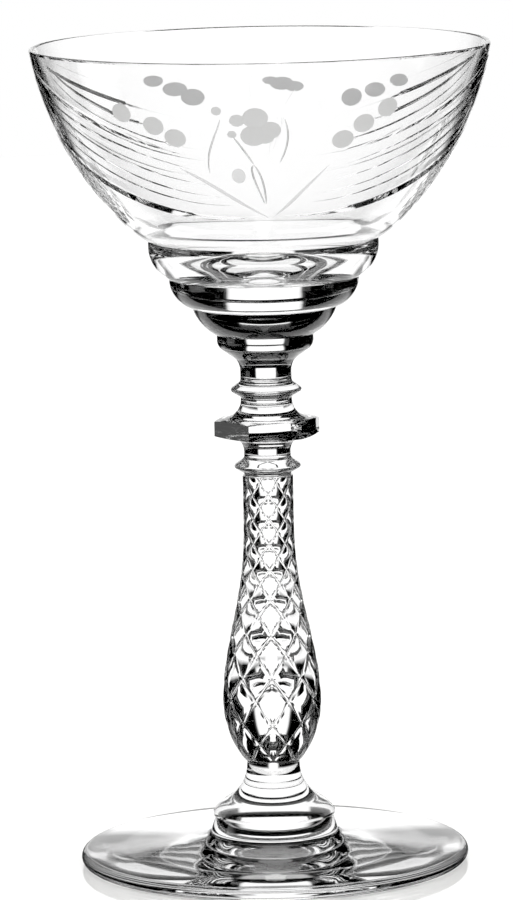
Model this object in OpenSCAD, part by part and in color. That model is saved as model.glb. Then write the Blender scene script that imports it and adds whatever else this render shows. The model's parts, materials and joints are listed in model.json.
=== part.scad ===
// Coupe glass on a tall pressed stem: a mould-blown bowl with a stepped base, a stem with
// two knops, a six-sided collar and a quilted baluster, and a spun foot. The three pieces of
// clear glass are fused hot, face to face. Millimetres, +Z up, origin under the foot's middle.

/* [Foot] */
// Diameter of the foot
foot_d = 77; // [70:0.5:84]
// Thickness of the foot's rounded edge
foot_edge_t = 2.7; // [2:0.1:3.4]
// Height at which the foot's upper face meets the boss
foot_crown_h = 5.4; // [4.6:0.1:6.4]
// Height of the boss's top face, where the stem is fused on
foot_h = 9.3; // [8.6:0.1:11]
// Diameter of the boss at its top
boss_top_d = 23; // [20:0.2:23.6]
// Diameter of the boss at its root
boss_root_d = 25; // [24:0.2:28]
// Radius of the fillet between boss and foot
boss_fillet_r = 1.2; // [0.6:0.1:1.8]
// Width of the flat ring that the glass stands on
rest_ring_w = 6; // [3:0.5:9]
// Depth of the shallow hollow under the foot
kick_depth = 1.2; // [0.6:0.1:2]

/* [Stem hub and neck] */
// Diameter of the hub's rim, on the foot's boss
hub_d = 24.2; // [23.8:0.2:26]
// Height of the upright lip round the hub's rim
hub_lip_h = 0.5; // [0.3:0.1:0.9]
// Height of the hub, up to its neck
hub_h = 10.2; // [9.6:0.1:12]
// Radius of the hub's hollow flare
hub_flare_r = 8.2; // [7:0.1:8.4]
// Diameter of the neck over the hub
hub_neck_d = 10.4; // [9.6:0.1:10.8]
// Length of that neck
hub_neck_l = 0.9; // [0.5:0.1:3]

/* [Quilted baluster] */
// Length of the baluster
baluster_l = 57; // [48:0.5:66]
// Diameter at its belly
belly_d = 19.3; // [16.5:0.1:22]
// Height of the belly over the baluster's foot
belly_h = 11.4; // [9:0.1:14]
// Length of the taper over the belly
taper_l = 38; // [32:0.5:43]
// Diameter at its lower end
baluster_low_d = 11.3; // [11:0.1:12.4]
// Diameter of its slim upper end
baluster_top_d = 9.9; // [9.5:0.1:10.8]
// Number of diamonds round the stem
diamonds_round = 9; // [7:1:12]
// Number of diamonds from end to end of one column
diamond_rows = 9; // [7:1:12]
// Depth of the grooves, as a share of the local radius
groove_share = 0.05; // [0.03:0.005:0.07]
// Size of each diamond's raised face, as a share of its cell
face_share = 0.72; // [0.55:0.01:0.85]

/* [Knops, collar and cup] */
// Diameter of the neck under the collar
lower_neck_d = 9.2; // [8.4:0.1:9.4]
// Diameter of the lower knop
lower_knop_d = 13.1; // [12.4:0.1:15]
// Length of the plain neck under the lower knop
knop_neck_l = 0.1; // [0.1:0.05:1.5]
// Length of the plain neck over the lower knop
lower_neck_l = 0.8; // [0.4:0.1:3]
// Diameter of the collar across its corners
collar_d = 21; // [19.6:0.2:23]
// Thickness of the collar at its corners
collar_t = 2.7; // [2.2:0.1:3.4]
// Angle from the front, to the left, of one corner of the collar
collar_turn = 20; // [0:1:60]
// Radius of the flare under the collar
under_flare_r = 2.9; // [2.4:0.1:3.2]
// Radius of the flare over the collar
over_flare_r = 3.8; // [3.2:0.1:4]
// Fall of the collar's upper and lower faces out to its corners
collar_fall = 0.5; // [0.3:0.1:0.7]
// Diameter of the neck over the collar
upper_neck_d = 10.1; // [9.4:0.1:10.4]
// Length of the plain neck under the upper knop
middle_neck_l = 0.1; // [0.1:0.1:2.5]
// Diameter of the upper knop
upper_knop_d = 14; // [13.4:0.1:16]
// Length of the plain neck over the upper knop
upper_neck_l = 1.6; // [1:0.05:3.5]
// Radius of both knops' rounded edges
knop_edge_r = 0.5; // [0.35:0.05:0.7]
// Radius of the fillet over each knop
knop_top_fillet_r = 0.9; // [0.5:0.05:1.2]
// Radius of the fillet under each knop
knop_low_fillet_r = 0.6; // [0.4:0.05:0.9]
// Diameter of the cup that carries the bowl
cup_d = 19.1; // [18:0.1:19.6]
// Radius of the hollow flare under the cup
cup_flare_r = 3.6; // [2.8:0.1:3.8]
// Radius of the cup's rounded lower edge
cup_round_r = 2.2; // [1.6:0.1:2.6]
// Height of the cup's upright wall
cup_wall_h = 1.25; // [0.8:0.05:2.5]

/* [Bowl] */
// Diameter of the rim
rim_d = 90.4; // [84:0.4:98]
// Height of the bowl, with its stepped base
bowl_h = 56.9; // [52:0.1:62]
// Thickness of the wall at the rim
rim_wall = 1; // [0.8:0.05:1.6]
// Thickness of the wall at the shoulder
shoulder_wall = 2; // [1.6:0.1:2.6]
// Radius of the shoulder's curve
shoulder_r = 24; // [19:0.5:28]
// Diameter of the bowl's fused base
base_d = 19.8; // [19.6:0.1:21]
// Diameter of the lowest step
low_step_d = 28.6; // [27:0.2:30.4]
// Diameter of the middle step
middle_step_d = 37.5; // [36:0.2:39]
// Diameter of the top step
top_step_d = 45.5; // [44:0.2:47]
// Curve radius of the lowest step
low_step_r = 9.5; // [8.4:0.1:10.6]
// Curve radius of the middle step
middle_step_r = 6; // [5.4:0.1:6.8]
// Curve radius of the top step
top_step_r = 7.2; // [6.4:0.1:8]
// Height of the top step's upright wall
top_step_wall_h = 1.2; // [0.6:0.1:2]
// Radius of the soft inner edge between the bowl and its well
well_lip_r = 2.4; // [1.8:0.1:3]
// Radius of the well's rounded bottom
well_r = 9.4; // [8.4:0.1:10]

/* [Hidden] */
$fn = 96;

// Largest gap between a drawn arc and a true one
arc_gap = 0.012;
// How far pieces of the one stem run into each other, and cutters past what they cut
overlap = 0.6;

// Slope angles of the tangent arcs, in degrees from level
hub_flare_slope = 30;
knop_low_slope = 32;
knop_top_slope = 35;
cup_slope = 35;
low_step_slope = 18;
shoulder_low_slope = 30;
shoulder_top_slope = 46;
well_slope = 78;

// Shape of the baluster's curve
belly_power = 0.85;
taper_power = 1.35;
// Rise of each diamond's middle, as a share of the groove's depth
crown_share = 0.35;
// Steps that the baluster's curve is summed in
baluster_steps = 120;

// Heights of the two fused joints and of the whole glass
stem_z = foot_h;
hub_neck_top_z = hub_h + hub_neck_l;
baluster_top_z = hub_neck_top_z + baluster_l;
lower_knop_z = baluster_top_z + knop_neck_l
    + flank_h(lower_knop_d, lower_neck_d, knop_low_fillet_r, knop_low_slope);
lower_neck_z = lower_knop_z
    + flank_h(lower_knop_d, lower_neck_d, knop_top_fillet_r, knop_top_slope);
under_flare_z = lower_neck_z + lower_neck_l;
collar_low_z = under_flare_z + under_flare_r + collar_fall;
collar_high_z = collar_low_z + collar_t;
over_flare_z = collar_high_z + collar_fall + over_flare_r;
upper_knop_z = over_flare_z + middle_neck_l
    + flank_h(upper_knop_d, upper_neck_d, knop_low_fillet_r, knop_low_slope);
upper_neck_z = upper_knop_z
    + flank_h(upper_knop_d, upper_neck_d, knop_top_fillet_r, knop_top_slope);
cup_flare_z = upper_neck_z + upper_neck_l;

// Points along an arc, from angle a0 to angle a1 in degrees about c
function arc(c, r, a0, a1) =
    let (n = max(2, ceil(abs(a1 - a0) / (2 * acos(1 - arc_gap / max(abs(r), 2 * arc_gap))))))
    [for (i = [0:n]) c + r * [cos(a0 + (a1 - a0) * i / n), sin(a0 + (a1 - a0) * i / n)]];

// Points along the arc that leaves p at the slope angle given and ends at q
function arc_to(p, slope, q) =
    let (chord = q - p, turn = atan2(chord.y, chord.x) - slope, r = norm(chord) / (2 * sin(turn)))
    arc(p + r * [-sin(slope), cos(slope)], r, slope - 90, slope - 90 + 2 * turn);

function last(points) = points[len(points) - 1];

module turned(outline) {
    rotate_extrude() polygon(outline);
}

// Foot: a spun disc with a rounded edge, a boss to carry the stem and a hollow underneath

function foot_outline() =
    let (
        edge_r = foot_edge_t / 2,
        edge_c = [foot_d / 2 - edge_r, edge_r],
        boss_slope = atan2(foot_h - foot_crown_h, (boss_top_d - boss_root_d) / 2),
        fall = atan2(foot_crown_h - foot_edge_t, edge_c.x - boss_root_d / 2 - boss_fillet_r),
        fillet_c = [boss_root_d / 2 + boss_fillet_r, foot_crown_h + boss_fillet_r],
        kick_d = foot_d - foot_edge_t - 2 * rest_ring_w,
        kick_r = (pow(kick_d / 2, 2) + pow(kick_depth, 2)) / (2 * kick_depth),
        kick_angle = asin(kick_d / 2 / kick_r)
    )
    concat(
        arc([0, kick_depth - kick_r], kick_r, 90, 90 - kick_angle),
        arc(edge_c, edge_r, -90, 90 - fall),
        arc(fillet_c, boss_fillet_r, 270 - fall, 90 + boss_slope),
        [[boss_top_d / 2, foot_h], [0, foot_h]]
    );

module foot() {
    color("whitesmoke", 0.4) turned(foot_outline());
}

// Stem: the flared hub and its neck, the quilted baluster, and the knops, collar and cup

function hub_outline() =
    let (
        neck_r = hub_neck_d / 2,
        flare = arc([neck_r + hub_flare_r, hub_h], hub_flare_r, 180, 270 - hub_flare_slope),
        rim = [hub_d / 2, hub_lip_h]
    )
    concat(
        [[0, 0], [rim.x, 0], rim],
        [for (p = arc_to(rim, 180 - 2 * atan2(last(flare).y - rim.y, rim.x - last(flare).x)
            + hub_flare_slope, last(flare))) p],
        [for (i = [len(flare) - 2:-1:0]) flare[i]],
        [[neck_r, hub_neck_top_z + overlap], [0, hub_neck_top_z + overlap]]
    );

// Height from a knop's edge to where the fillet of one flank meets the neck
function flank_h(knop_d, neck_d, fillet_r, slope) =
    let (
        rounds = knop_edge_r + fillet_r,
        run = (knop_d - neck_d) / 2 - rounds * (1 - sin(slope))
    )
    rounds * cos(slope) + run * tan(slope);

// One knop's outline on its neck, from its lower fillet to its upper one
function knop_outline(z, knop_d, neck_d) =
    let (
        low_z = z - flank_h(knop_d, neck_d, knop_low_fillet_r, knop_low_slope),
        top_z = z + flank_h(knop_d, neck_d, knop_top_fillet_r, knop_top_slope),
        low_c = [neck_d / 2 + knop_low_fillet_r, low_z],
        edge_c = [knop_d / 2 - knop_edge_r, z],
        top_c = [neck_d / 2 + knop_top_fillet_r, top_z]
    )
    concat(
        arc(low_c, knop_low_fillet_r, 180, 90 + knop_low_slope),
        arc(edge_c, knop_edge_r, knop_low_slope - 90, 90 - knop_top_slope),
        arc(top_c, knop_top_fillet_r, 270 - knop_top_slope, 180)
    );

function collar_outline() =
    let (
        low_r = lower_neck_d / 2,
        top_r = upper_neck_d / 2,
        corner_r = collar_d / 2 + overlap,
        low_c = [low_r + under_flare_r, under_flare_z],
        top_c = [top_r + over_flare_r, over_flare_z]
    )
    concat(
        arc(low_c, under_flare_r, 180, 90),
        [[corner_r, collar_low_z], [corner_r, collar_high_z]],
        arc(top_c, over_flare_r, 270, 180)
    );

function cup_outline() =
    let (
        flare_c = [upper_neck_d / 2 + cup_flare_r, cup_flare_z],
        flare = arc(flare_c, cup_flare_r, 180, 90 + cup_slope),
        round_r = cup_d / 2 - cup_round_r,
        round_start_r = round_r + cup_round_r * sin(cup_slope),
        round_start_z = last(flare).y + (round_start_r - last(flare).x) * tan(cup_slope),
        round_z = round_start_z + cup_round_r * cos(cup_slope)
    )
    concat(
        flare,
        arc([round_r, round_z], cup_round_r, cup_slope - 90, 0),
        [[cup_d / 2, round_z + cup_wall_h], [0, round_z + cup_wall_h]]
    );

stem_h = last(cup_outline()).y;
bowl_z = stem_z + stem_h;

module upper_stem() {
    collar_cut_z = under_flare_z + under_flare_r - overlap;
    collar_cut_h = collar_t + 2 * collar_fall + 2 * overlap;
    difference() {
        turned(concat(
            [[0, baluster_top_z - overlap], [lower_neck_d / 2, baluster_top_z - overlap]],
            knop_outline(lower_knop_z, lower_knop_d, lower_neck_d),
            collar_outline(),
            knop_outline(upper_knop_z, upper_knop_d, upper_neck_d),
            cup_outline()
        ));
        translate([0, 0, collar_cut_z]) difference() {
            cylinder(d = collar_d + 4 * overlap, h = collar_cut_h);
            translate([0, 0, -overlap]) rotate(-90 - collar_turn)
                cylinder(d = collar_d, h = collar_cut_h + 2 * overlap, $fn = 6);
        }
    }
}

// Radius of the baluster's raised faces at height z over its lower end
function baluster_r(z) =
    z < belly_h
    ? (baluster_low_d + (belly_d - baluster_low_d) * pow(sin(90 * z / belly_h), belly_power)) / 2
    : (baluster_top_d + (belly_d - baluster_top_d)
        * pow((1 + cos(180 * min(1, (z - belly_h) / taper_l))) / 2, taper_power)) / 2;

// Rows lie closer where the baluster is slim, so that every diamond keeps its proportions
baluster_step = baluster_l / baluster_steps;
row_table = [
    for (i = 0, sum = 0; i <= baluster_steps;
        sum = sum + baluster_step / baluster_r((i + 0.5) * baluster_step), i = i + 1)
        [sum, i * baluster_step]
];
half_rows = 2 * diamond_rows;
function row_z(row) = lookup(last(row_table)[0] * row / half_rows, row_table);

function on_baluster(turn, z, r) = [r * cos(turn), r * sin(turn), hub_neck_top_z + z];

// Angle of groove crossing i on a half row: odd half rows stand half a diamond further round
function crossing_turn(i, row) = 360 / diamonds_round * (i + (row % 2) / 2) - 90;
function crossing(i, row) =
    on_baluster(crossing_turn(i, row), row_z(row), baluster_r(row_z(row)) * (1 - groove_share));

// The five points of a diamond's raised face: left, top, right and bottom corners, then its middle
function face_points(i, row) =
    let (
        turn = crossing_turn(i + 0.5, row),
        z = row_z(row),
        half_turn = 180 / diamonds_round * face_share,
        z_top = z + (row_z(row + 1) - z) * face_share,
        z_low = z + (row_z(row - 1) - z) * face_share
    )
    [
        on_baluster(turn - half_turn, z, baluster_r(z)),
        on_baluster(turn, z_top, baluster_r(z_top)),
        on_baluster(turn + half_turn, z, baluster_r(z)),
        on_baluster(turn, z_low, baluster_r(z_low)),
        on_baluster(turn, z, baluster_r(z) * (1 + groove_share * crown_share))
    ];

// A ring of points that plugs the baluster's end into its neck
function plug(z, r) =
    [for (i = [0:diamonds_round - 1]) on_baluster(crossing_turn(i, 0), z, r)];

module quilted_baluster() {
    n = diamonds_round;
    crossings = [for (row = [0:half_rows], i = [0:n - 1]) crossing(i, row)];
    faces_at = len(crossings);
    raised = [for (row = [1:half_rows - 1], i = [0:n - 1], p = face_points(i, row)) p];
    plugs_at = faces_at + len(raised);
    plug_r = min(lower_neck_d, hub_neck_d) / 2 - overlap;
    function at(i, row) = row * n + (i + n) % n;
    function face(i, row, k) = faces_at + ((row - 1) * n + i) * 5 + k;
    diamonds = [
        for (row = [1:half_rows - 1], i = [0:n - 1])
            let (
                next = i + row % 2,
                rim = [at(i, row), at(next, row + 1), at(i + 1, row), at(next, row - 1)]
            )
            for (k = [0:3])
                let (k2 = (k + 1) % 4)
                each [
                    [rim[k], face(i, row, k), face(i, row, k2)],
                    [rim[k], face(i, row, k2), rim[k2]],
                    [face(i, row, k), face(i, row, 4), face(i, row, k2)]
                ]
    ];
    low_end = [
        for (i = [0:n - 1]) let (low = plugs_at + i, low2 = plugs_at + (i + 1) % n)
            each [
                [at(i, 0), at(i, 1), at(i + 1, 0)],
                [at(i, 0), at(i + 1, 0), low2],
                [at(i, 0), low2, low]
            ]
    ];
    top_end = [
        for (i = [0:n - 1])
            let (top = plugs_at + n + i, top2 = plugs_at + n + (i + 1) % n)
            each [
                [at(i, half_rows), at(i + 1, half_rows), at(i, half_rows - 1)],
                [at(i, half_rows), top2, at(i + 1, half_rows)],
                [at(i, half_rows), top, top2]
            ]
    ];
    polyhedron(
        concat(crossings, raised, plug(-overlap, plug_r), plug(baluster_l + overlap, plug_r)),
        concat(
            diamonds, low_end, top_end,
            [[for (i = [0:n - 1]) plugs_at + i]],
            [[for (i = [n - 1:-1:0]) plugs_at + n + i]]
        )
    );
}

module stem() {
    color("gainsboro", 0.4) translate([0, 0, stem_z]) union() {
        turned(hub_outline());
        quilted_baluster();
        upper_stem();
    }
}

// Bowl: three steps over the fused base, a shoulder, and one long curve out to the rim

// A step's curve, from the diameter under it up to its own diameter at the slope given
function step_curve(z, low_d, top_d, r, top_slope) =
    let (c_r = top_d / 2 - r * cos(top_slope), low_angle = acos((low_d / 2 - c_r) / r))
    arc([c_r, z + r * sin(low_angle)], r, -low_angle, -top_slope);

function bowl_outline() =
    let (
        low_step = step_curve(0, base_d, low_step_d, low_step_r, low_step_slope),
        middle_step = step_curve(last(low_step).y, low_step_d, middle_step_d, middle_step_r, 0),
        top_step = step_curve(last(middle_step).y, middle_step_d, top_step_d, top_step_r, 0),
        corner = last(top_step) + [0, top_step_wall_h],
        shoulder_c = corner + shoulder_r * [-sin(shoulder_low_slope), cos(shoulder_low_slope)],
        shoulder = arc(shoulder_c, shoulder_r, shoulder_low_slope - 90, shoulder_top_slope - 90),
        edge_r = rim_wall / 2,
        edge_c = [rim_d / 2 - edge_r, bowl_h - edge_r],
        outside = arc_to(last(shoulder), shoulder_top_slope, edge_c + [edge_r, 0]),
        inner_r = shoulder_r - shoulder_wall,
        inner = arc(shoulder_c, inner_r, shoulder_top_slope - 90, shoulder_low_slope - 90),
        inside = arc_to(inner[0], shoulder_top_slope, edge_c - [edge_r, 0]),
        lip_c = last(inner) + well_lip_r * [sin(shoulder_low_slope), -cos(shoulder_low_slope)],
        lip = arc(lip_c, well_lip_r, 90 + shoulder_low_slope, 90 + well_slope),
        well_c = last(lip) + well_r * [-sin(well_slope), cos(well_slope)],
        well = arc(well_c, well_r, well_slope - 90, -90)
    )
    concat(
        [[0, 0]], low_step, middle_step, top_step, shoulder, outside,
        arc(edge_c, edge_r, 0, 180),
        [for (i = [len(inside) - 2:-1:1]) inside[i]],
        inner, lip, well,
        [[0, last(well).y]]
    );

module bowl() {
    color("white", 0.4) translate([0, 0, bowl_z]) turned(bowl_outline());
}

bowl();
stem();
foot();
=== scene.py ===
# %% [markdown]
# # A coupe glass with a quilted stem
# The real glass is three pieces of clear glass that were fused hot: a blown bowl with cut
# ornament, a stem pressed in a mould, and a foot. The CAD model gives their outlines. Here each
# piece is turned again on the same outline, finer than the CAD mesh, and gets its ornament.

# %% Load the frame
import json
import math

import bpy
import numpy as np
from mathutils import Matrix, Vector

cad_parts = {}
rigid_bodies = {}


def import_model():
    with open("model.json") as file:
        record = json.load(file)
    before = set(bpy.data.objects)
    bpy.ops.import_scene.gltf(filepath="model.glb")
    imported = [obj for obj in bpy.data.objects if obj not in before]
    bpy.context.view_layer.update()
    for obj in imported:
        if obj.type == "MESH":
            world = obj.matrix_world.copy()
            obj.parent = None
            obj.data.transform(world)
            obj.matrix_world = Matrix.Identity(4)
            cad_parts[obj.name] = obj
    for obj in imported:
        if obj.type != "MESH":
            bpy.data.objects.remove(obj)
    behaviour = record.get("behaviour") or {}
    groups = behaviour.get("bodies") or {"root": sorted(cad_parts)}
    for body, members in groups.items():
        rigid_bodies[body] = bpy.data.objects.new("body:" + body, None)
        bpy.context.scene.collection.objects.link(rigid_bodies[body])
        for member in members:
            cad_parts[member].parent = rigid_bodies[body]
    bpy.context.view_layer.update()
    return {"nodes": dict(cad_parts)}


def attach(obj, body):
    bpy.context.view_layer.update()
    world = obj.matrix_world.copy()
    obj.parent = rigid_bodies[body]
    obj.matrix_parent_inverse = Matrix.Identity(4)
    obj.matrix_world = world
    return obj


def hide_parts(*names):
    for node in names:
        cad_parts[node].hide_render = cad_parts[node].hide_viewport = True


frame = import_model()
MM = 0.001

# %% [markdown]
# ## Camera
# The photograph was taken from about a metre away and a little above the rim, with a long lens,
# so the ellipses of rim and foot are narrow. The camera was held slightly crooked: the glass leans
# to the left. The lens comes from the focal length in pixels, as the sensor's 36 mm span the
# picture's long side.

# %% Camera
PICTURE_LONG_SIDE = 900
FOCAL_PX = 5615
camera_away, camera_up = 1095 * MM, 252 * MM
camera_tilt, camera_yaw, camera_roll = (math.radians(a) for a in (8.806, 0.112, -1.127))

bpy.ops.object.camera_add()
camera = bpy.context.object
camera.data.lens = FOCAL_PX / PICTURE_LONG_SIDE * camera.data.sensor_width
camera.matrix_world = (
    Matrix.Translation((0, -camera_away, camera_up))
    @ Matrix.Rotation(camera_yaw, 4, "Z")
    @ Matrix.Rotation(math.pi / 2 - camera_tilt, 4, "X")
    @ Matrix.Rotation(camera_roll, 4, "Z")
)
bpy.context.scene.camera = camera
print("camera lens", round(camera.data.lens, 1), "mm")

# %% [markdown]
# ## Colours and nodes
# Colours are written as sRGB hex values, as a paint program shows them. Shaders count in linear
# light, so one function converts them. A second one adds a node: settings go in by name, and an
# input takes either a value or another node's output.

# %% Helpers for materials
def linear(hex_colour):
    """A hex colour as linear red, green, blue and alpha."""
    channels = [int(hex_colour[i:i + 2], 16) / 255 for i in (1, 3, 5)]
    return [c / 12.92 if c <= 0.04045 else ((c + 0.055) / 1.055) ** 2.4 for c in channels] + [1]


def add_node(tree, kind, inputs=None, **settings):
    """Adds a node with its settings, and gives its inputs their values or links."""
    node = tree.nodes.new(kind)
    for name, value in settings.items():
        setattr(node, name, value)
    for socket, value in (inputs or {}).items():
        if isinstance(value, bpy.types.NodeSocket):
            tree.links.new(value, node.inputs[socket])
        else:
            node.inputs[socket].default_value = value
    return node


def new_tree(name):
    """A new material and its empty node tree."""
    material = bpy.data.materials.new(name)
    material.use_nodes = True
    material.node_tree.nodes.clear()
    return material, material.node_tree


# %% [markdown]
# ## Studio
# Clear glass has no colour of its own: it shows what stands behind and beside it. A glass
# photographer puts a white panel behind the glass and leaves most of the room dark. The panel fills
# the middle of each rod of glass with white, and the dark draws its edges in black. Lamps could do
# it, but they would shine on the floor too, so the world does it here. The camera sees plain white,
# soft white light falls on the floor, and only rays that went through or off the glass see the
# panels. Every panel is a sector of the horizon: one behind the glass, and two narrow ones for a
# look at the glass from its sides.

# %% White panels
# Each panel: its middle in degrees from the left by way of the back, half its width, its soft edge
BACK_PANEL, SIDE_PANELS = ((90, 15, 2),), ((0, 11, 3), (-135, 11, 3))
PANEL_TOP, TOP_BLEND = 14, 3
WHITE = linear("#FFFFFF")


def panel_light(tree, vector, panels):
    """How much white panel there is, from 0 to 1, in a direction or at a place on the floor."""
    parts = add_node(tree, "ShaderNodeSeparateXYZ", {0: vector})
    west = add_node(tree, "ShaderNodeMath", {0: parts.outputs["X"], 1: -1.0}, operation="MULTIPLY")
    angle = add_node(
        tree, "ShaderNodeMath", {0: parts.outputs["Y"], 1: west.outputs[0]}, operation="ARCTAN2"
    )
    share = add_node(
        tree, "ShaderNodeMapRange", {"Value": angle.outputs[0], "From Min": -math.pi, "From Max": math.pi}
    )
    ramp = add_node(tree, "ShaderNodeValToRGB", {"Fac": share.outputs[0]})
    black = linear("#000000")
    ramp.color_ramp.elements[0].color = ramp.color_ramp.elements[1].color = black
    for middle, half, soft in panels:
        for spread, colour in ((-half - soft, black), (-half, WHITE), (half, WHITE), (half + soft, black)):
            ramp.color_ramp.elements.new((middle + spread) / 360 + 0.5).color = colour
    below_top = add_node(
        tree, "ShaderNodeMapRange",
        {"Value": parts.outputs["Z"], "From Min": math.sin(math.radians(PANEL_TOP)),
         "From Max": math.sin(math.radians(PANEL_TOP + TOP_BLEND)), "To Min": 1.0, "To Max": 0.0},
    )
    lit = add_node(
        tree, "ShaderNodeMath", {0: ramp.outputs["Color"], 1: below_top.outputs[0]}, operation="MULTIPLY"
    )
    return lit.outputs[0]


# %% Rays that met the glass
def glass_rays(tree):
    """1 for a ray that went through clear glass or off it, 0 for any other."""
    ray = add_node(tree, "ShaderNodeLightPath")
    either = add_node(
        tree, "ShaderNodeMath",
        {0: ray.outputs["Is Glossy Ray"], 1: ray.outputs["Is Transmission Ray"]}, operation="MAXIMUM",
    )
    unscattered = add_node(
        tree, "ShaderNodeMath",
        {0: either.outputs[0], 1: ray.outputs["Diffuse Depth"]}, operation="SUBTRACT", use_clamp=True,
    )
    return unscattered.outputs[0]


# %% White panels in a dark room
PANEL_LIGHT = 1.2
world = bpy.data.worlds.new("studio")
bpy.context.scene.world = world
world.use_nodes = True
tree = world.node_tree
tree.nodes.clear()
direction = add_node(tree, "ShaderNodeTexCoord")
panels = add_node(
    tree, "ShaderNodeBackground",
    {"Color": panel_light(tree, direction.outputs["Generated"], BACK_PANEL + SIDE_PANELS),
     "Strength": PANEL_LIGHT},
)
soft_white = add_node(tree, "ShaderNodeBackground", {"Color": WHITE, "Strength": 1.0})
seen = add_node(
    tree, "ShaderNodeMixShader", {0: glass_rays(tree), 1: soft_white.outputs[0], 2: panels.outputs[0]}
)
add_node(tree, "ShaderNodeOutputWorld", {"Surface": seen.outputs[0]})
print("world: white panels at", [p[0] for p in BACK_PANEL + SIDE_PANELS], "degrees")

# %% [markdown]
# The floor is a pale, polished table top. Light and shadow on it are real for the camera. A little glow
# lifts it to the white of the backdrop, so no edge shows between them. Seen at a low angle, a glossy top
# mirrors what stands around it, so rays from the glass find it dark beside the panels. Seen from steeply
# above it is painted in its own white again, in a wide sector. A real mirror would need the whole room to
# be modelled, so for rays from the glass the lit places are painted light in the table's material: a
# painted reflection of the panels, and painted light under the foot where light through the glass would
# fall.

# %% Floor
FLOOR_R, FLOOR_GAP, FLOOR_CORNERS = 1.4, 0.0002, 128
bpy.ops.object.select_all(action="DESELECT")
bpy.ops.mesh.primitive_circle_add(
    vertices=FLOOR_CORNERS, radius=FLOOR_R, fill_type="NGON", location=(0, 0, -FLOOR_GAP)
)
floor = bpy.context.object
floor.name = "floor"
print("floor", FLOOR_R, "m")

# %% Painted lit places on the floor
# Painted light in front of the panels, a strip to the back one, and under the foot, where light through
# the glass would fall
PANEL_FROM, SIDE_FROM, PANEL_BLEND = 0.12, 0.3, 0.02
STRIP = ((90, 5, 3),)
UNDER_FOOT, UNDER_R, UNDER_BLEND = ((90, 60, 10), (-90, 16, 3)), 0.036, 0.003
# Seen from above, the table is painted white in a wider sector, from a steep angle on and not from a low
# one
FROM_ABOVE, STEEP, LOW = ((90, 58, 6),), 24, 19
# A lacquered top, rubbed down and polished, so that it mirrors what stands on it for the camera; rays from
# the glass see painted light
material, tree = new_tree("satin table top")
place = add_node(tree, "ShaderNodeTexCoord").outputs["Object"]
away = add_node(tree, "ShaderNodeVectorMath", {0: place}, operation="LENGTH")
slant = add_node(tree, "ShaderNodeLayerWeight", {"Blend": 0.5})
places = []
for panels, value, start, end in (
    (BACK_PANEL, away.outputs["Value"], PANEL_FROM, PANEL_FROM - PANEL_BLEND),
    (SIDE_PANELS, away.outputs["Value"], SIDE_FROM, SIDE_FROM - PANEL_BLEND),
    (STRIP, away.outputs["Value"], FLOOR_R, 2 * FLOOR_R),
    (UNDER_FOOT, away.outputs["Value"], UNDER_R, UNDER_R + UNDER_BLEND),
    (FROM_ABOVE, slant.outputs["Facing"], *(1 - math.sin(math.radians(a)) for a in (STEEP, LOW))),
):
    within = add_node(
        tree, "ShaderNodeMapRange",
        {"Value": value, "From Min": start, "From Max": end, "To Min": 1.0, "To Max": 0.0},
    )
    painted_lit_place = add_node(
        tree, "ShaderNodeMath",
        {0: panel_light(tree, place, panels), 1: within.outputs[0]}, operation="MULTIPLY",
    )
    places.append(painted_lit_place.outputs[0])
lit = places[0]
for more in places[1:]:
    lit = add_node(tree, "ShaderNodeMath", {0: lit, 1: more}, operation="MAXIMUM").outputs[0]
print("lit places on the floor:", len(places))

# %% Table top
FLOOR_GLOW, FLOOR_ROUGHNESS = 0.2, 0.015
LIGHT_BOUNCES = 40
table = add_node(
    tree, "ShaderNodeBsdfPrincipled",
    {"Base Color": linear("#E8E8E6"), "Roughness": FLOOR_ROUGHNESS, "Emission Color": WHITE,
     "Emission Strength": FLOOR_GLOW},
)
# Rays from the glass see the lit places glow instead: a painted reflection of the panels, and painted
# light under the foot
painted_floor_light = add_node(tree, "ShaderNodeEmission", {"Color": lit, "Strength": PANEL_LIGHT})
seen = add_node(
    tree, "ShaderNodeMixShader", {0: glass_rays(tree), 1: table.outputs[0], 2: painted_floor_light.outputs[0]}
)
add_node(tree, "ShaderNodeOutputMaterial", {"Surface": seen.outputs[0]})
floor.data.materials.append(material)
bpy.context.scene.view_settings.view_transform = "Standard"
cycles = bpy.context.scene.cycles
cycles.max_bounces = cycles.transmission_bounces = cycles.glossy_bounces = LIGHT_BOUNCES
print("table top:", material.name, "with", LIGHT_BOUNCES, "bounces of light")

# %% [markdown]
# ## Glass
# The glass is a clear soda-lime glass, pressed or blown and then polished by fire, so its surface
# is smooth but never quite even. Slow, very shallow ripples in the bump give it that. The round
# hollows and the flower were ground with a stone and left matt: they scatter the light and look
# grey, with the stone's fine lines across. The lines beside them were polished again. Where two
# pieces are fused there is no surface any more, so the faces between them have to vanish.

# %% Clear glass
GLASS_IOR = 1.52
RIPPLE_SIZE, RIPPLE_DEPTH = 9 * MM, 0.005 * MM
# Smoothed by the flame after it left the mould, with slow ripples where the skin ran
clear_glass, tree = new_tree("fire-polished soda-lime glass")
place = add_node(tree, "ShaderNodeTexCoord")
ripple = add_node(
    tree, "ShaderNodeTexNoise",
    {"Vector": place.outputs["Object"], "Scale": 1 / RIPPLE_SIZE, "Detail": 1.0},
)
ripple_bump = add_node(
    tree, "ShaderNodeBump", {"Height": ripple.outputs["Fac"], "Strength": 1.0, "Distance": RIPPLE_DEPTH}
)
glass = add_node(
    tree, "ShaderNodeBsdfPrincipled",
    {"Base Color": WHITE, "Roughness": 0.0, "IOR": GLASS_IOR, "Transmission Weight": 1.0,
     "Normal": ripple_bump.outputs[0]},
)
add_node(tree, "ShaderNodeOutputMaterial", {"Surface": glass.outputs[0]})
print("glass:", clear_glass.name)

# %% Ground glass
GRIND_SIZE, GRIND_DEPTH, GRIND_STRETCH = 3 * MM, 0.02 * MM, (1, 1, 12)
MATT_ROUGHNESS, MATT_CLEARNESS = 0.6, 0.15


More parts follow.
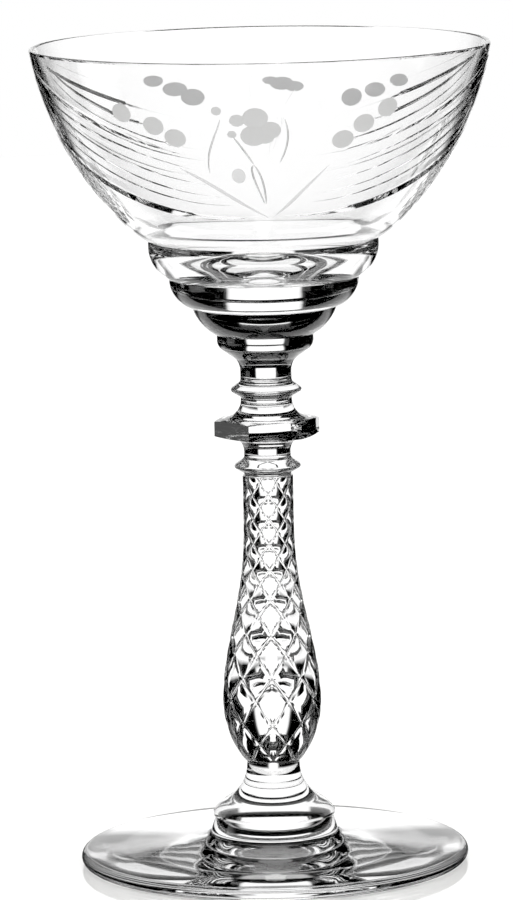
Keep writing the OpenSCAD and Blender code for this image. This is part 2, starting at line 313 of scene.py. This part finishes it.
def ground(name, colour):
    """Glass that a stone left matt, with the stone's fine lines across."""
    material, tree = new_tree(name)
    place = add_node(tree, "ShaderNodeTexCoord")
    stretch = add_node(
        tree, "ShaderNodeMapping", {"Vector": place.outputs["Object"], "Scale": GRIND_STRETCH}
    )
    grind = add_node(
        tree, "ShaderNodeTexNoise", {"Vector": stretch.outputs[0], "Scale": 1 / GRIND_SIZE, "Detail": 4.0}
    )
    grind_bump = add_node(
        tree, "ShaderNodeBump", {"Height": grind.outputs["Fac"], "Strength": 1.0, "Distance": GRIND_DEPTH}
    )
    matt = add_node(
        tree, "ShaderNodeBsdfPrincipled",
        {"Base Color": linear(colour), "Roughness": MATT_ROUGHNESS, "IOR": GLASS_IOR,
         "Transmission Weight": MATT_CLEARNESS, "Normal": grind_bump.outputs[0]},
    )
    add_node(tree, "ShaderNodeOutputMaterial", {"Surface": matt.outputs[0]})
    return material


# Ground with a coarse stone and left as it was, so it looks grey
ground_glass = ground("wheel-ground glass", "#D8D8D8")
# The same matt glass painted lighter for the back's hollows, which get too little light when seen through
# the glass from inside
ground_glass_painted_lighter = ground("matt glass painted lighter", "#FFFFFF")
print("matt glasses:", ground_glass.name, "and", ground_glass_painted_lighter.name)

# %% Fused joints and polished cuts
# Run together hot, so that light goes straight on from one piece into the next
fused_joint, tree = new_tree("fused glass joint")
clear = add_node(tree, "ShaderNodeBsdfTransparent")
add_node(tree, "ShaderNodeOutputMaterial", {"Surface": clear.outputs[0]})

# Cut with a stone and then rubbed clear with felt; its grey is painted shade, which makes the cuts darker
# than the wall
cut_glass_painted_darker, tree = new_tree("polished cut glass painted darker")
smooth = add_node(
    tree, "ShaderNodeBsdfPrincipled",
    {"Base Color": linear("#C4C4C4"), "Roughness": 0.0, "IOR": GLASS_IOR, "Transmission Weight": 1.0},
)
add_node(tree, "ShaderNodeOutputMaterial", {"Surface": smooth.outputs[0]})
GLASSES = (clear_glass, ground_glass, ground_glass_painted_lighter, cut_glass_painted_darker, fused_joint)
print("glasses:", [glass.name for glass in GLASSES])

# %% [markdown]
# ## Outlines from the frame
# Each CAD node was turned round the vertical axis, so the points of its mesh that lie at y = 0 are
# its outline. Following their edges from one loose end to the other gives the outline in order. The
# sizes could be written here again, but read from the frame they follow the CAD model.

# %% Read the outlines
ON_PLANE = 1e-7


def outlines(node):
    """The chains of outline points (radius, height) in mm, each from its lower end up."""
    mesh = frame["nodes"][node].data
    keys = [
        (round(v.co.x / MM, 4), round(v.co.z / MM, 4))
        if abs(v.co.y) < ON_PLANE and v.co.x > -ON_PLANE else None
        for v in mesh.vertices
    ]
    links = {}
    for edge in mesh.edges:
        a, b = (keys[i] for i in edge.vertices)
        if a and b and a != b:
            links.setdefault(a, set()).add(b)
            links.setdefault(b, set()).add(a)
    chains = []
    for end in sorted((p for p in links if len(links[p]) == 1), key=lambda p: p[1]):
        if any(end in chain for chain in chains):
            continue
        chain, ahead = [end], links[end]
        while ahead:
            chain.append(ahead.pop())
            ahead = links[chain[-1]] - set(chain)
        chains.append(chain)
    return chains


(bowl_line,), (hub_line, upper_line), (foot_line,) = (outlines(n) for n in ("bowl", "stem", "foot"))
print("outline points:", len(bowl_line), len(hub_line), len(upper_line), len(foot_line))

# %% [markdown]
# A turned piece starts as a single point. The point is extruded along the outline, and Spin turns
# the line round the axis, as a glassmaker's pontil does. A Screw modifier would turn it too, but
# after Spin the doubled points at the seam and on the axis are merged at once. The last step gives
# every piece its glasses, and sharp edges where two of them meet.

# %% Turn a piece
WELD = 0.001 * MM


def turn(name, line, steps):
    """A new object: the outline turned round the vertical axis in that many steps."""
    bpy.ops.object.select_all(action="DESELECT")
    bpy.ops.mesh.primitive_plane_add(size=MM)
    piece = bpy.context.object
    piece.name = piece.data.name = name
    bpy.ops.object.mode_set(mode="EDIT")
    bpy.ops.mesh.select_mode(type="VERT")
    bpy.ops.mesh.merge(type="CENTER")
    bpy.ops.transform.translate(value=(line[0][0] * MM, 0, line[0][1] * MM))
    for (r0, z0), (r1, z1) in zip(line, line[1:]):
        bpy.ops.mesh.extrude_vertices_move(
            TRANSFORM_OT_translate={"value": ((r1 - r0) * MM, 0, (z1 - z0) * MM)}
        )
    bpy.ops.mesh.select_all(action="SELECT")
    bpy.ops.mesh.spin(steps=steps, angle=math.tau, center=(0, 0, 0), axis=(0, 0, 1))
    bpy.ops.mesh.select_all(action="SELECT")
    bpy.ops.mesh.remove_doubles(threshold=WELD)
    bpy.ops.mesh.normals_make_consistent(inside=False)
    bpy.ops.object.mode_set(mode="OBJECT")
    return piece


# %% Finish a piece
SMOOTH_ANGLE = math.radians(24)
JOINT_REACH = 0.01


def finish_piece(piece, node, *joints):
    """Gives a piece its glasses and its place in the part. A joint is a (radius, height) in mm."""
    bpy.ops.object.select_all(action="DESELECT")
    piece.select_set(True)
    bpy.context.view_layer.objects.active = piece
    bpy.ops.object.shade_smooth_by_angle(angle=SMOOTH_ANGLE)
    for material in GLASSES[len(piece.data.materials):]:
        piece.data.materials.append(material)
    for face in piece.data.polygons:
        for joint_r, joint_z in joints:
            if abs(face.center.z / MM - joint_z) < JOINT_REACH and face.center.xy.length / MM < joint_r:
                face.material_index = GLASSES.index(fused_joint)
    glass_at = {}
    for face in piece.data.polygons:
        for edge in face.edge_keys:
            glass_at.setdefault(edge, set()).add(face.material_index)
    for edge in piece.data.edges:
        if len(glass_at[edge.key]) > 1:
            edge.use_edge_sharp = True
    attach(piece, "root")
    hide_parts(node)
    print(piece.name, len(piece.data.polygons), "faces")


# %% [markdown]
# ## Foot
# The foot was spun flat while it was hot, and has a low boss in the middle for the stem. A cylinder
# with bevels could be a start, but the thin edge and the slow rise to the boss are one curve, so
# the whole outline is turned. The face on the boss is the joint with the stem.

# %% Foot
ROUND_STEPS = 192
foot = turn("foot_disc", foot_line + [(0, foot_line[-1][1])], ROUND_STEPS)
boss = foot_line[-1]
finish_piece(foot, "foot", boss)

# %% [markdown]
# ## Stem
# The stem was pressed in a mould. Its middle is a baluster quilted with diamonds, nine round and
# nearly nine high. A bump could draw them, but glass bends the light by its true shape, so they are
# modelled. A quilt is easiest to draw flat and to roll round the baluster. One diamond is modelled
# as a small grid standing on its corner, with a slightly crowned face that falls to a groove on all
# four sides. Three Array modifiers repeat it.

# %% One diamond of the quilt
DIAMONDS_ROUND, DIAMOND_CELLS = 9, 14
FIRST_ROW, LAST_ROW = -0.08, 8.68
GROOVE_DEPTH, FACE_CROWN = 0.05, 0.0175  # shares of the baluster's radius
GROOVE_SHARE = 0.13  # of the diamond's side, on each side of the groove
EDGE_CROWDING = 0.11  # how much closer the grid's lines lie beside a groove
CUT_REACH = 1e-5

bpy.ops.object.select_all(action="DESELECT")
bpy.ops.mesh.primitive_grid_add(
    x_subdivisions=DIAMOND_CELLS, y_subdivisions=DIAMOND_CELLS, size=1, location=(0, 0, 0)
)
quilt = bpy.context.object
for v in quilt.data.vertices:
    across, along = (c + 0.5 - EDGE_CROWDING * math.sin(math.tau * (c + 0.5)) for c in v.co[:2])
    inside = min(across, 1 - across, along, 1 - along)
    fall = (1 + math.cos(math.pi * min(1, inside / GROOVE_SHARE))) / 2
    crown = math.sin(math.pi * across) * math.sin(math.pi * along)
    v.co = (across - 0.5, along - 0.5, FACE_CROWN * crown - GROOVE_DEPTH * fall)
bpy.ops.object.mode_set(mode="EDIT")
bpy.ops.mesh.select_all(action="SELECT")
bpy.ops.transform.rotate(value=math.pi / 4, orient_axis="Z", center_override=(0, 0, 0))
bpy.ops.transform.resize(value=(math.sqrt(0.5), math.sqrt(0.5), 1), center_override=(0, 0, 0))
bpy.ops.transform.translate(value=(0.5, 0, 0))
bpy.ops.object.mode_set(mode="OBJECT")
for count, offset in (
    (DIAMONDS_ROUND, (1, 0, 0)),
    (2, (0.5, 0.5, 0)),
    (math.ceil(LAST_ROW) + 1, (0, 1, 0)),
):
    array = quilt.modifiers.new("repeat", "ARRAY")
    array.count = count
    array.use_relative_offset, array.use_constant_offset = False, True
    array.constant_offset_displace = offset
    bpy.ops.object.modifier_apply(modifier=array.name)
bpy.ops.object.mode_set(mode="EDIT")
for height, upward in ((FIRST_ROW, -1), (LAST_ROW, 1)):
    bpy.ops.mesh.select_all(action="SELECT")
    bpy.ops.mesh.bisect(
        plane_co=(0, height, 0), plane_no=(0, upward, 0), clear_outer=True, threshold=CUT_REACH
    )
bpy.ops.object.mode_set(mode="OBJECT")
print("quilt, flat:", len(quilt.data.polygons), "faces")

# %% [markdown]
# Rolling the quilt turns its width into an angle and its height into a height on the baluster.
# The baluster swells to a belly low down and tapers to a slim neck. Rows lie closer together where
# it is slim, so that every diamond keeps its proportions.

# %% Roll the quilt round the baluster
BALUSTER_LOW, BALUSTER_HIGH = 20.4, 77.4
LOW_R, BELLY_R, TOP_R = 5.65, 9.65, 4.95
BELLY_H, TAPER_L = 11.4, 38
BELLY_POWER, TAPER_POWER = 0.85, 1.35
HEIGHT_STEPS = 600


def baluster_radius(height):
    """Radius in mm at a height above the baluster's foot."""
    low = LOW_R + (BELLY_R - LOW_R) * np.sin(np.pi / 2 * np.clip(height / BELLY_H, 0, 1)) ** BELLY_POWER
    fall = (1 + np.cos(np.pi * np.clip((height - BELLY_H) / TAPER_L, 0, 1))) / 2
    high = TOP_R + (BELLY_R - TOP_R) * fall ** TAPER_POWER
    return np.where(height < BELLY_H, low, high)


fine = np.linspace(0, BALUSTER_HIGH - BALUSTER_LOW, HEIGHT_STEPS)
crowding = 1 / baluster_radius((fine[1:] + fine[:-1]) / 2)
rows_up_to = np.interp(
    np.concatenate([[0], np.cumsum(crowding)]), (0, np.sum(crowding)), (FIRST_ROW, LAST_ROW)
)
for v in quilt.data.vertices:
    angle = math.tau * v.co.x / DIAMONDS_ROUND - math.pi / 2
    height = float(np.interp(v.co.y, rows_up_to, fine))
    radius = float(baluster_radius(height)) * (1 + v.co.z)
    v.co = Vector((radius * math.cos(angle), radius * math.sin(angle), BALUSTER_LOW + height)) * MM
bpy.ops.object.mode_set(mode="EDIT")
bpy.ops.mesh.select_all(action="SELECT")
bpy.ops.mesh.remove_doubles(threshold=WELD)
bpy.ops.mesh.normals_make_consistent(inside=False)
bpy.ops.object.mode_set(mode="OBJECT")
print("quilt, rolled:", len(quilt.data.polygons), "faces")

# %% [markdown]
# The rest of the stem is turned. Only the collar isn't round: the outline is drawn out to the
# collar's corners, and six cuts with Bisect leave a hexagon. A cylinder with six corners would be
# simpler, but it wouldn't run into the round parts. Only the collar's own faces are selected for
# the cuts, because the cup above is nearly as wide.

# %% Outline of the upper stem
COLLAR_CORNER_R, COLLAR_SPARE = 10.5, 0.2
COLLAR_FROM, COLLAR_TO = 84, 90  # heights between which the collar is found
at_collar = [p for p in upper_line if COLLAR_FROM < p[1] < COLLAR_TO]
widest = sorted(at_collar, key=lambda p: -p[0])[:2]
collar_low, collar_top = sorted(widest, key=lambda p: p[1])


def drawn_out(at, before):
    """The outline's last slope carried on to the collar's corners."""
    r = COLLAR_CORNER_R + COLLAR_SPARE
    return r, at[1] + (at[1] - before[1]) / (at[0] - before[0]) * (r - at[0])


i = upper_line.index(collar_low)
wide_line = list(upper_line)
wide_line[i] = drawn_out(upper_line[i], upper_line[i - 1])
wide_line[i + 1] = drawn_out(upper_line[i + 1], upper_line[i + 2])
wide_line[0] = (upper_line[0][0], BALUSTER_HIGH)
print("collar from", collar_low[1], "to", collar_top[1], "mm")

# %% Turned parts of the stem
STEM_STEPS = DIAMONDS_ROUND * DIAMOND_CELLS
COLLAR_SIDES, COLLAR_FIRST_FACE = 6, math.radians(-80)
REACH_BELOW, REACH_ABOVE = 1, 0.3  # how far the collar's own faces reach past its edges
upper = turn("upper_stem", wide_line + [(0, upper_line[-1][1])], STEM_STEPS)
bpy.ops.object.mode_set(mode="EDIT")
bpy.ops.mesh.select_mode(type="FACE")
for k in range(COLLAR_SIDES):
    bpy.ops.mesh.select_all(action="DESELECT")
    bpy.ops.object.mode_set(mode="OBJECT")
    for face in upper.data.polygons:
        face.select = collar_low[1] - REACH_BELOW < face.center.z / MM < collar_top[1] + REACH_ABOVE
    bpy.ops.object.mode_set(mode="EDIT")
    facing = COLLAR_FIRST_FACE + k * math.tau / COLLAR_SIDES
    out = Vector((math.cos(facing), math.sin(facing), 0))
    bpy.ops.mesh.bisect(
        plane_co=out * COLLAR_CORNER_R * math.cos(math.pi / COLLAR_SIDES) * MM, plane_no=out,
        use_fill=True, clear_outer=True,
    )
bpy.ops.object.mode_set(mode="OBJECT")
print("upper stem:", len(upper.data.polygons), "faces")
hub = turn("hub", [(0, boss[1]), boss] + hub_line[:-1] + [(hub_line[-1][0], BALUSTER_LOW)], STEM_STEPS)
print("hub:", len(hub.data.polygons), "faces")

# %% [markdown]
# In the mould the stem came out in one piece. The quilt is open at both ends, and so are the turned
# parts beside it. A Boolean could join them, but Bridge Edge Loops between the open ends keeps the
# faces as they are and leaves one closed skin.

# %% Join the stem
BRIDGE_REACH = 0.5
bpy.ops.object.select_all(action="DESELECT")
for part in (upper, hub, quilt):
    part.select_set(True)
bpy.context.view_layer.objects.active = quilt
bpy.ops.object.join()
stem = quilt
stem.name = stem.data.name = "quilted_stem"
bpy.ops.object.mode_set(mode="EDIT")
bpy.ops.mesh.select_mode(type="EDGE")
for height in (BALUSTER_LOW, BALUSTER_HIGH):
    bpy.ops.mesh.select_all(action="DESELECT")
    bpy.ops.mesh.select_non_manifold(
        extend=False, use_wire=False, use_multi_face=False, use_non_contiguous=False, use_verts=False
    )
    bpy.ops.object.mode_set(mode="OBJECT")
    for edge in stem.data.edges:
        middle = sum((stem.data.vertices[i].co.z for i in edge.vertices)) / 2
        edge.select = edge.select and abs(middle / MM - height) < BRIDGE_REACH
    bpy.ops.object.mode_set(mode="EDIT")
    bpy.ops.mesh.bridge_edge_loops()
bpy.ops.mesh.select_mode(type="VERT")
bpy.ops.mesh.select_all(action="SELECT")
bpy.ops.mesh.normals_make_consistent(inside=False)
bpy.ops.object.mode_set(mode="OBJECT")
cup = upper_line[-1]
finish_piece(stem, "stem", boss, cup)

# %% [markdown]
# ## Bowl
# The bowl was blown, and then decorated on the cutter's wheel. Swags of mitre cuts hang from two
# points near the rim, one on each side, and sink towards the middle of the front. The back has the
# same swags, most of them cut finer or wider. A mitre cut has a V section and tapers to nothing at
# its ends. A Boolean would leave ragged edges on cuts as long and thin as these, so they are part
# of the wall's own mesh: the wall is turned with rows to spare, and the rows are then slid along
# the wall until three of them follow each cut, two on its edges and one at its bottom. An operator
# slides a row by one amount all round, so this is done point by point. Inside, the edge of the
# well is softened by a curve, because a sharp one would show as a black line.

# %% The swags
SWAG_TURN, BACK_TURN = math.radians(3), math.radians(176)
# Heights at 15, 45 and 75 degrees from the middle, first and last angle, half width and depth of
# the cut on the front, and on the back
SWAGS = (
    ((132.1, 135.0, 143.2), (4, 84), (0.95, 0.85), (0.50, 0.25)),
    ((134.8, 138.7, 148.8), (9, 85), (0.22, 0.20), (0.22, 0.20)),
    ((136.5, 141.0, 151.6), (12, 86), (0.24, 0.22), (0.24, 0.22)),
    ((138.7, 143.6, 154.0), (15, 86), (0.24, 0.22), (0.45, 0.32)),
    ((140.8, 146.8, 155.0), (19, 86), (0.26, 0.22), (0.50, 0.36)),
    ((143.4, 149.6, 157.8), (20, 84), (0.80, 0.45), (0.16, 0.06)),
)
SWAG_PITCH, SWAG_OFFSET = 30, 1.5  # degrees between those heights, and the middle one's place
print("swags:", len(SWAGS), "on each side")


def swag_height(levels, angle):
    """Height of a swag, from its three levels, at an angle in degrees from the middle of its side."""
    (low, middle, high), s = levels, angle / SWAG_PITCH - SWAG_OFFSET
    return middle + (high - low) / 2 * s + (high + low - 2 * middle) / 2 * s * s


# %% Curve of the wall
WALL_FROM_R = 28  # the wall begins where the bowl gets wider than this
CURVE_ORDER, CURVE_STEPS = 5, 400
rim = max(range(len(bowl_line)), key=lambda i: bowl_line[i][0])
wall_start = next(i for i, p in enumerate(bowl_line) if p[0] > WALL_FROM_R)
wall_low, wall_high = bowl_line[wall_start][1], bowl_line[rim][1]
wall_curve = np.polyfit(*np.array([p[::-1] for p in bowl_line[wall_start:rim + 1]]).T, CURVE_ORDER)
heights = np.linspace(wall_low, wall_high, CURVE_STEPS)
strides = np.hypot(np.diff(heights), np.diff(np.polyval(wall_curve, heights)))
along = np.concatenate([[0], np.cumsum(strides)])
print("wall:", round(along[-1], 1), "mm long")


def wall_radius(height):
    """Outer radius of the wall in mm at a height."""
    return float(np.polyval(wall_curve, height))


def wall_lean(height):
    """Angle by which the wall's outer side faces downwards."""
    return math.atan(np.polyval(np.polyder(wall_curve), height))


# %% Rows of the wall
SWAG_LEAN = 0.8  # how much higher the swags hang at the right, and lower at the left
SWELL_POWER = 1.4  # moves the widest place of a cut away from the middle
SKEW = 0.5  # moves a cut's bottom towards its lower edge
# Least distance between two swags, least half width of a cut, and the share of a gap that it may fill
LEAST_GAP, LEAST_HALF, ROOM_SHARE = 0.5, 0.012, 0.42
UNDER_RIM = 1.5  # left free under the rim
ROWS_BELOW, ROWS_BETWEEN, ROWS_ABOVE = 6, 2, 14
GUARD = 0.03  # distance of the row that keeps the wall flat beside a cut


def wall_rows(angle):
    """Heights of all wall rows at an angle from the front, and how deep each is cut in."""
    away = abs((angle - SWAG_TURN + math.pi / 2) % math.tau - math.pi / 2)
    on_back = away > math.pi / 2
    if on_back:
        away = abs((angle - SWAG_TURN - BACK_TURN + math.pi) % math.tau - math.pi)
    lean = SWAG_LEAN * math.sin(angle - SWAG_TURN)
    limit = wall_high - UNDER_RIM
    at = [along[-1]]
    lines = []
    for levels, *_ in reversed(SWAGS):
        limit = min(swag_height(levels, math.degrees(away)) + lean, limit - LEAST_GAP)
        at.insert(0, float(np.interp(limit, heights, along)))
    for k, (_, (first, last), *cuts) in enumerate(SWAGS):
        half, depth = cuts[on_back]
        share = min(1, max(0, (math.degrees(away) - first) / (last - first)))
        swell = math.sin(math.pi * share ** SWELL_POWER)
        room = ROOM_SHARE * min(at[k + 1] - at[k], at[k] - (at[k - 1] if k else 0))
        fit = min(swell, (room / half) ** 2)
        lines.append((at[k], max(LEAST_HALF, half * fit ** 0.5), depth * fit))
    places, depths = [0.0], [0.0]
    for k, (line, half, depth) in enumerate(lines):
        fill = ROWS_BETWEEN if k else ROWS_BELOW
        gap = np.linspace(places[-1], line - half - GUARD, fill + 2)[1:]
        places += list(gap) + [line - half, line - SKEW * half, line + half, line + half + GUARD]
        depths += [0.0] * (len(gap) + 1) + [depth, 0.0, 0.0]
    places += list(np.linspace(places[-1], along[-1] - GUARD, ROWS_ABOVE + 2)[1:]) + [along[-1]]
    depths += [0.0] * (ROWS_ABOVE + 2)
    return np.interp(places, along, heights), depths


# %% Turn the bowl and slide its rows
WALL_STEPS = 256
ROW_REACH = 0.05  # how far a point may lie off the wall's curve and still belong to it
# The well's inner edge: the heights between which a curve takes its place, and the curve's corner
LIP_LOW, LIP_HIGH, LIP_CORNER, LIP_STEPS = 121.5, 129.5, (20.9, 125.2), 20
rest_rows = np.linspace(wall_low, wall_high, len(wall_rows(0)[0]))
wall_line = [(wall_radius(z), z) for z in rest_rows]
inside = bowl_line[rim + 1:]
above_lip = [p for p in inside if p[1] > LIP_HIGH]
below_lip = [p for p in inside if p[1] < LIP_LOW]
ends = np.array((above_lip[-1], LIP_CORNER, below_lip[0]))
lip_shares = np.linspace(0, 1, LIP_STEPS)[1:-1]
lip = [tuple(ends.T @ ((1 - s) ** 2, 2 * s * (1 - s), s * s)) for s in lip_shares]
whole_line = (
    [(0, cup[1]), cup] + bowl_line[:wall_start] + wall_line
    + above_lip + lip + below_lip + [(0, bowl_line[-1][1])]
)
bowl = turn("cut_bowl", whole_line, WALL_STEPS)
rows_at = {}
for v in bowl.data.vertices:
    row = int(np.argmin(abs(rest_rows - v.co.z / MM)))
    off_wall = abs(v.co.xy.length / MM - wall_radius(rest_rows[row])) > ROW_REACH
    if off_wall or v.co.z / MM < wall_low - ROW_REACH:
        continue
    angle = math.atan2(v.co.x, -v.co.y)
    key = round(angle * WALL_STEPS / math.tau) % WALL_STEPS
    if key not in rows_at:
        rows_at[key] = wall_rows(angle)
    z, depth = rows_at[key][0][row], rows_at[key][1][row]
    r = wall_radius(z) - depth * math.cos(wall_lean(z))
    z += depth * math.sin(wall_lean(z))
    v.co = Vector((r * math.sin(angle), -r * math.cos(angle), z)) * MM
print("wall rows:", len(rest_rows), "columns:", len(rows_at))

# %% [markdown]
# Round hollows come from touching the wall with a ball-shaped stone, and fine lines from drawing a
# small stone with a round edge along it. A bump could only shade them, so they are cut. The tools
# are modelled like the real ones: a ball for a hollow, and for a line a rod along its path, which
# sinks into the wall and comes out again at both ends.

# %% Hold a tool against the wall
wheels = bpy.data.collections.new("wheels")
bpy.context.scene.collection.children.link(wheels)
print("tools are kept in:", wheels.name)


def on_wall(angle, height):
    """A place on the bowl's outer wall in mm, and the direction straight out of the wall."""
    radius, lean, a = wall_radius(height), wall_lean(height), math.radians(angle)
    radial = Vector((math.sin(a), -math.cos(a), 0))
    out = radial * math.cos(lean) - Vector((0, 0, math.sin(lean)))
    return radial * radius + Vector((0, 0, height)), out


def hold(tool, middle, right, out, glass):
    """Holds a tool against the wall. The cut gets the glass given."""
    up = out.cross(right)
    tool.matrix_world = Matrix.Translation(middle * MM) @ Matrix((right, up, out)).transposed().to_4x4()
    for material in GLASSES:
        tool.data.materials.append(material)
    tool.data.polygons.foreach_set("material_index", [GLASSES.index(glass)] * len(tool.data.polygons))
    bpy.context.scene.collection.objects.unlink(tool)
    wheels.objects.link(tool)


# %% Cut a hollow
BALL_R, BALL_RINGS = 11, 128


def cut_hollow(angle, height, radius, stretch, ball_r, glass):
    """A round or oval hollow, cut with a ball. The stretch makes it wider, or taller below 1."""
    place, out = on_wall(angle, height)
    bpy.ops.object.select_all(action="DESELECT")
    rings = round(BALL_RINGS * ball_r / BALL_R)
    bpy.ops.mesh.primitive_uv_sphere_add(segments=rings // 2, ring_count=rings, radius=ball_r * MM)
    ball = bpy.context.object
    bpy.ops.object.mode_set(mode="EDIT")
    bpy.ops.transform.resize(value=(stretch, 1, 1))
    bpy.ops.object.mode_set(mode="OBJECT")
    right = Vector((math.cos(math.radians(angle)), math.sin(math.radians(angle)), 0))
    hold(ball, place + out * (ball_r - radius ** 2 / (2 * ball_r)), right, out, glass)


# %% Cut a line
LINE_STEPS, ROD_RESOLUTION = 25, 6


def cut_line(points, width, depth, glass):
    """A long shallow cut along a path of places on the wall, running out at both ends."""
    share = np.linspace(0, 1, len(points))
    fine = np.linspace(0, 1, LINE_STEPS)
    order = len(points) - 1
    angles, levels = (np.polyval(np.polyfit(share, c, order), fine) for c in zip(*points))
    edge_r = (width ** 2 / 4 + depth ** 2) / (2 * depth)
    curve = bpy.data.curves.new("line", "CURVE")
    curve.dimensions, curve.use_fill_caps = "3D", True
    curve.bevel_depth, curve.bevel_resolution = edge_r * MM, ROD_RESOLUTION
    path = curve.splines.new("POLY")
    path.points.add(LINE_STEPS - 1)
    for point, angle, level, s in zip(path.points, angles, levels, fine):
        place, out = on_wall(angle, level)
        point.co = (*(place + out * (edge_r - depth * math.sin(math.pi * s) ** 0.5)) * MM, 1)
    bpy.ops.object.select_all(action="DESELECT")
    line = bpy.data.objects.new("line", curve)
    bpy.context.scene.collection.objects.link(line)
    line.select_set(True)
    bpy.context.view_layer.objects.active = line
    bpy.ops.object.convert(target="MESH")
    bpy.ops.object.mode_set(mode="EDIT")
    bpy.ops.mesh.select_all(action="SELECT")
    bpy.ops.mesh.remove_doubles(threshold=WELD)
    bpy.ops.mesh.normals_make_consistent(inside=False)
    bpy.ops.object.mode_set(mode="OBJECT")
    hold(bpy.context.object, Vector(), Vector((1, 0, 0)), Vector((0, 0, 1)), glass)


# %% [markdown]
# Rows of round hollows hang above the swags, and overlapping ones make the flower in the middle.
# They stay matt. A stalk and a leaf hang from the flower, a wreath lies round it, and two wide,
# shallow strokes meet below. The back has its own hollows, in matt glass painted lighter, and fainter
# lines.
# Rows of small clear hollows cover the sides. One Boolean modifier takes all the tools out of
# the wall at once, which is quicker and safer than one for each, and leaves their glass on the cut
# faces.

# %% Places of the ornament
FRONT_HOLLOWS = (  # degrees from the middle, height, half the height, how much wider
    (-38.2, 152.7, 2.1, 1.25), (-29.1, 150.4, 2.1, 1.25), (-23.4, 148.1, 2.1, 1.25),
    (22.3, 147.3, 2.1, 1.25), (27.7, 150.2, 2.1, 1.25), (34.1, 153.0, 2.1, 1.25),
    (-1.5, 152.0, 2.35, 1.25), (-2.0, 148.6, 2.4, 1.25), (2.3, 149.6, 2.0, 1.25),
    (1.0, 148.4, 1.7, 1.25), (-6.2, 151.6, 1.4, 1.25), (-7.7, 148.9, 0.9, 1.25),
    (-11.3, 153.5, 1.0, 1.2),
)
BACK_HOLLOWS = (
    (-39.8, 149.8, 1.4, 5.0), (-31.8, 147.7, 1.65, 2.6), (-24.3, 146.1, 2.0, 1.5),
    (24.6, 146.4, 1.9, 1.95), (29.8, 148.1, 1.6, 4.0), (36.2, 150.0, 1.35, 4.0),
    (-6.0, 147.9, 1.2, 3.0), (-2.2, 148.5, 1.5, 3.0), (1.2, 149.1, 1.0, 3.0),
)
OVAL = (-6.8, 140.6, 1.9, 0.75)  # a polished one beside the leaf
LINES = (  # places along the line, width, depth
    (((-7.4, 148.4), (-4.8, 145.7), (-2.2, 142.8)), 0.36, 0.10),
    (((-2.2, 142.8), (-2.5, 140.4), (0.9, 134.7)), 0.34, 0.10),
    (((-2.2, 142.8), (0.2, 139.3), (1.2, 134.7)), 0.34, 0.10),
    (((6.0, 151.9), (7.0, 148.8), (6.6, 145.9), (5.0, 143.0)), 0.34, 0.08),
    (((-10.5, 152.0), (-12.1, 149.0), (-14.3, 145.4), (-15.2, 141.0)), 0.34, 0.07),
    (((-28.0, 144.0), (-15.9, 139.0), (-7.3, 135.3), (3.0, 131.8)), 1.20, 0.07),
    (((20.0, 142.4), (12.6, 137.2), (8.3, 134.3), (4.2, 131.9)), 1.20, 0.07),
)
# Rows of small hollows at the sides: how many, their step down, the pitch in degrees and the first
# row's drop below the lowest swag, then the angles from the middle between which they lie
COMB_ROWS, COMB_STEP, COMB_PITCH, COMB_DROP = 6, 1.7, 3.4, 1.7
COMB_FIRST, COMB_LAST = 65, 102
TICK_BALL_R, TICK_R = 2.4, 0.8  # the small ball's radius, and a small hollow's
SIDES = (  # turn, hollows, their glass, glass of the lines, share of their depth
    (0, FRONT_HOLLOWS, ground_glass, cut_glass_painted_darker, 1.0),
    (math.degrees(BACK_TURN), BACK_HOLLOWS, ground_glass_painted_lighter, clear_glass, 0.5),
)
print("hollows:", len(FRONT_HOLLOWS), "and", len(BACK_HOLLOWS), "lines on each side:", len(LINES))

# %% Cut the ornament
lowest_swag = SWAGS[0][0]
for turned, hollows, matt_glass, line_glass, share in SIDES:
    for angle, height, radius, stretch in hollows:
        cut_hollow(angle + turned, height, radius, stretch, BALL_R, matt_glass)
    for points, width, depth in LINES:
        cut_line([(angle + turned, height) for angle, height in points], width, share * depth, line_glass)
cut_hollow(*OVAL, BALL_R, cut_glass_painted_darker)
for way in (-1, 1):
    for row in range(COMB_ROWS):
        first = COMB_FIRST + COMB_PITCH / 2 * (row % 2)
        for angle in np.arange(first, COMB_LAST, COMB_PITCH):
            from_middle = angle if angle < 90 else 180 - angle
            level = swag_height(lowest_swag, from_middle) - COMB_DROP - COMB_STEP * row
            if level > wall_low + TICK_R:
                turned = way * angle + math.degrees(SWAG_TURN)
                cut_hollow(turned, level, TICK_R, 1, TICK_BALL_R, clear_glass)
bpy.ops.object.select_all(action="DESELECT")
bowl.select_set(True)
bpy.context.view_layer.objects.active = bowl
for material in GLASSES:
    bowl.data.materials.append(material)
boolean = bowl.modifiers.new("cut", "BOOLEAN")
boolean.operation, boolean.solver, boolean.material_mode = "DIFFERENCE", "MANIFOLD", "INDEX"
boolean.operand_type, boolean.collection = "COLLECTION", wheels
bpy.ops.object.modifier_apply(modifier=boolean.name)
for tool in list(wheels.objects):
    bpy.data.objects.remove(tool)
bpy.data.collections.remove(wheels)
finish_piece(bowl, "bowl", cup)
